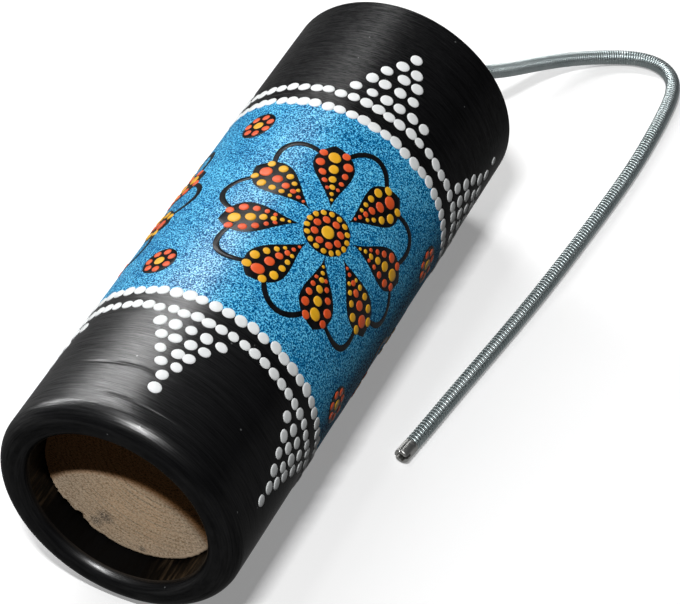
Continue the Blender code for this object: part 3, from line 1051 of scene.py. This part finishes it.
def add_stroke(shape, line, half_widths):
    verts, faces = shape
    first = len(verts)
    p = np.array(line, float)
    for (across, along), (a, b), half in zip(p, unit(np.gradient(p, axis=0)), half_widths):
        for share, lift in SECTION:
            verts.append(wrap(across - b * half * share, along + a * half * share, lift))
    loop = len(SECTION)
    last = len(verts) - loop
    for low in range(first, last, loop):
        faces += band(low, low + loop, loop)
    faces.append(tuple(range(first, first + loop)))
    faces.append(tuple(range(last, last + loop)))


def around(centre, reach, turn):
    return centre[0] + reach * math.cos(turn), centre[1] + reach * math.sin(turn)


print("a stroke is", PAINT_LIFT * 1000, "mm high")

# %% Petals
PETALS = 8
PETAL_START = 0.0094
PETAL_END = 0.0335
PETAL_HALF = 0.0066
PETAL_POINT = 0.00012
PETAL_STEPS = 30
MIDDLE_LINE = [(0.11, 0.00055), (0.20, 0.00075), (0.31, 0.0010)]
MIDDLE_LINE += [(0.44, 0.0013), (0.60, 0.0017), (0.80, 0.0021)]
SIDE_LINES = [(0.29, 0.0017, 0.0007), (0.40, 0.0026, 0.0009), (0.53, 0.0036, 0.0012)]
SIDE_LINES += [(0.69, 0.0044, 0.0015), (0.86, 0.0035, 0.0014)]


def add_petal(centre, turn, swapped):
    def on_petal(share):
        return around(centre, PETAL_START + (PETAL_END - PETAL_START) * share, turn)

    shares = np.linspace(0, 1, PETAL_STEPS)
    swell = np.sin(np.pi * shares**1.7) ** 0.75
    half_widths = [max(PETAL_POINT, PETAL_HALF * s) for s in swell]
    add_stroke(black_shapes, [on_petal(share) for share in shares], half_widths)
    inner, outer = (orange_dots, yellow_dots) if swapped else (yellow_dots, orange_dots)
    for share, size in MIDDLE_LINE:
        x, y = on_petal(share)
        add_dot(inner, x + jitter(0.0002), y + jitter(0.0002), size, size)
    for share, aside, size in SIDE_LINES:
        x, y = on_petal(share)
        for off in (-aside, aside):
            grow = size * (1 + jitter(0.08))
            dot_across = x - off * math.sin(turn) + jitter(0.00012)
            dot_along = y + off * math.cos(turn) + jitter(0.00012)
            add_dot(outer, dot_across, dot_along, grow, grow)


print(PETALS, "petals to a flower")

# %% Flowers and rosettes
FLOWERS = 3
FLOWER_DEG = 58
FLOWER_ALONG = 0.0005
EYE_RADIUS = 0.0083
EYE_DOT = 0.0023
EYE_LIFT = 0.0001
EYE_SIDES = 40
EYE_RINGS = [(8, 0.0044, 0.0013, orange_dots), (16, 0.0069, 0.0010, yellow_dots)]
LOOP_REACH = 0.0285
LOOP_BOW = 0.0070
LOOP_STEPS = 25
LOOP_FROM = 0.62
LOOP_TO = 1.38
LOOP_THIN = 0.0007
LOOP_SWELL = 0.0003
ROSETTE_ALONG = 0.0330
ROSETTE_RADIUS = 0.0060
ROSETTE_SIDES = 32
ROSETTE_DOT = 0.0018
ROSETTE_PETALS = 7
ROSETTE_REACH = 0.0040
ROSETTE_PETAL = 0.0013


def add_flower(centre):
    for k in range(PETALS):
        add_petal(centre, math.tau * (k + 0.5) / PETALS, k % 2 == 0)
    add_dot(black_shapes, *centre, EYE_RADIUS, EYE_RADIUS, PAINT_LIFT, EYE_SIDES)
    add_dot(yellow_dots, *centre, EYE_DOT, EYE_DOT, DOT_HEIGHT + EYE_LIFT)
    for count, reach, size, shape in EYE_RINGS:
        for k in range(count):
            add_dot(shape, *around(centre, reach, math.tau * (k + 0.25) / count), size, size)
    bow = np.sin(np.linspace(0, math.pi, LOOP_STEPS))
    for k in range(PETALS):
        turns = math.tau / PETALS * (k + np.linspace(LOOP_FROM, LOOP_TO, LOOP_STEPS))
        line = [around(centre, r, t) for r, t in zip(LOOP_REACH + LOOP_BOW * bow, turns)]
        add_stroke(black_shapes, line, LOOP_THIN + LOOP_SWELL * bow)


def add_rosette(centre):
    add_dot(black_shapes, *centre, ROSETTE_RADIUS, ROSETTE_RADIUS, PAINT_LIFT, ROSETTE_SIDES)
    add_dot(yellow_dots, *centre, ROSETTE_DOT, ROSETTE_DOT)
    for k in range(ROSETTE_PETALS):
        place = around(centre, ROSETTE_REACH, math.tau * k / ROSETTE_PETALS)
        add_dot(orange_dots, *place, ROSETTE_PETAL, ROSETTE_PETAL)


for k in range(FLOWERS):
    flower_across = math.radians(FLOWER_DEG + 360 / FLOWERS * k) * TUBE_RADIUS
    add_flower((flower_across, FLOWER_ALONG))
    for far in (-ROSETTE_ALONG, ROSETTE_ALONG):
        add_rosette((flower_across + round_tube / FLOWERS / 2, FLOWER_ALONG + far))
print(FLOWERS, "flowers drawn")

# %% Lay the flowers on
black_paint, tree, shader = new_finish("black_shape_paint")
streaks = grain(places(tree), 420, 3)
black = two_tones(streaks, (0.002, 0.002, 0.002), (0.007, 0.007, 0.008))
dress(shader, black, spread(streaks, 0.30, 0.46), bump(streaks, 0.2, 0.0001), shine=0.05)
plug(shader, {"Coat Weight": 0.06, "Coat Roughness": 0.24, "Coat IOR": 3.0})
laid_on("black_petals", black_shapes, black_paint)
laid_on("orange_dots", orange_dots, orange_paint)
laid_on("yellow_dots", yellow_dots, yellow_paint)
print("flowers laid on the band")

# %% [markdown]
# ## The drum head
# At the far end a skin is stretched over a ledge and held by a black ring. A patch strengthens
# its middle, where the spring comes out. All three are spun like the tube. The skin then gets
# fine puckers where the ring grips it, and the patch the uneven edge of a hand-cut disc.

# %% Skin
SKIN_OUT = 0.0965
SKIN_IN = 0.0959
SKIN_EDGE = 0.0332
SKIN_HOLE = 0.0010
SKIN_RINGS = [SKIN_HOLE, 0.004, 0.008, 0.012, 0.016, 0.020, 0.0225, 0.025, 0.027, 0.029, 0.031, SKIN_EDGE]
SKIN_SIDES = 230
GRIPPED_EDGE = 0.001
PUCKERS = 46
PUCKER = 0.00010
PUCKER_FROM = 0.020
PUCKER_OVER = 0.013


def pucker(angle, radius):
    ripple = PUCKER * math.sin(PUCKERS * angle + 3 * math.sin(5 * angle))
    return ripple * max(0.0, (radius - PUCKER_FROM) / PUCKER_OVER) ** 2


skin_profile = [(r, SKIN_IN) for r in SKIN_RINGS] + [(r, SKIN_OUT) for r in SKIN_RINGS[::-1]]
drum_skin = spun("drum_skin", skin_profile, SKIN_SIDES)
for vert in drum_skin.data.vertices:
    angle = math.atan2(vert.co.z - AXIS_HEIGHT, vert.co.x)
    reach = math.hypot(vert.co.z - AXIS_HEIGHT, vert.co.x)
    if reach < SKIN_EDGE - GRIPPED_EDGE:
        vert.co.y += pucker(angle, reach)
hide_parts("membrane")
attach(drum_skin, "tube")
print("skin has", len(drum_skin.data.polygons), "faces")

# %% Ring and patch
HEAD_FACE = 0.0968
RING_INNER = 0.0284
RING_OUTER_ARC = ((0.0322, 0.0984), 0.0010)
RING_INNER_ARC = ((0.0296, 0.0982), 0.0012)
RING_SIDES = 160
PATCH_RADIUS = 0.0080
PATCH_FACE = 0.0976
PATCH_ROUND = 0.0006
PATCH_SIDES = 72
PATCH_WAVER = 0.012
PATCH_TRUE = 0.005
ring_profile = arc(*RING_OUTER_ARC, 0, 90, 5) + arc(*RING_INNER_ARC, 90, 180, 6)
ring_profile += [(RING_INNER, HEAD_FACE), (SKIN_EDGE, HEAD_FACE)]
grip_ring = spun("grip_ring", ring_profile, RING_SIDES)
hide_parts("head_ring")
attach(grip_ring, "tube")


def hand_cut(angle, radius, along):
    if radius < PATCH_TRUE:
        return radius
    return radius * (1 + PATCH_WAVER * math.sin(5 * angle + radius * 900))


patch_profile = [(SKIN_HOLE, HEAD_FACE), (SKIN_HOLE, PATCH_FACE)]
patch_profile += arc((PATCH_RADIUS - PATCH_ROUND, PATCH_FACE - PATCH_ROUND), PATCH_ROUND, 90, 0, 5)
patch_profile += [(PATCH_RADIUS, HEAD_FACE)]
leather_patch = spun("leather_patch", patch_profile, PATCH_SIDES, hand_cut)
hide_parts("head_patch")
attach(leather_patch, "tube")
print("drum head stretched")

# %% [markdown]
# ## Finishes of the head
# The skin is scraped hide, cloudy with veins and streaked with fibres, and a little light goes
# into it. A plain cream colour would look like plastic. The ring is painted black like the
# tube, the patch is brown leather whose cells show, and the parts behind the head are steel.

# %% Skin, ring and patch finishes
HIDE_TONES = [(0.28, (0.56, 0.43, 0.27)), (0.5, (0.71, 0.60, 0.43)), (0.72, (0.80, 0.72, 0.57))]
FIBRE_BROWN = (0.52, 0.40, 0.26)
skin_finish, tree, shader = new_finish("drum_skin")
veins = grain(places(tree), 95, 6, 0.68)
fibres = grain(places(tree, (1, 1, 0.25)), 420, 3, 0.6)
hide = ramp(veins, HIDE_TONES)
hide = mixed(stretched(fibres, 0.45, 0.75, 0, 0.3), hide, FIBRE_BROWN)
dress(shader, hide, spread(fibres, 0.42, 0.62), bump(fibres, 0.25, 0.0002))
plug(shader, {"Subsurface Weight": 0.15, "Subsurface Radius": (0.002, 0.0012, 0.0008)})
drum_skin.data.materials.append(skin_finish)

ring_finish, tree, shader = new_finish("black_ring_paint")
streaks = grain(places(tree), 130, 4, 0.6)
black = two_tones(streaks, (0.005, 0.005, 0.006), (0.016, 0.016, 0.018))
dress(shader, black, spread(streaks, 0.32, 0.5), bump(streaks, 0.3, 0.0002), shine=0.35)
grip_ring.data.materials.append(ring_finish)

leather, tree, shader = new_finish("patch_leather")
spot = places(tree)
pebbles = cells(spot, 1100)
brown = two_tones(grain(spot, 260, 3), (0.13, 0.062, 0.028), (0.27, 0.14, 0.07))
dress(shader, brown, stretched(pebbles, 0.0, 0.5, 0.75, 0.5), bump(pebbles, 0.5, 0.0002))
leather_patch.data.materials.append(leather)
print("head finished")

# %% Steel behind the head
inner_steel = steel_finish("inner_steel", (0.55, 0.56, 0.57), (0.38, 0.39, 0.40), 0.25, 0.42)
for node_name in ("inner_washer", "spring_tail", "anchor_pin"):
    for material_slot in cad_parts[node_name].material_slots:
        material_slot.material = inner_steel
print("washer, tail and pin are steel")
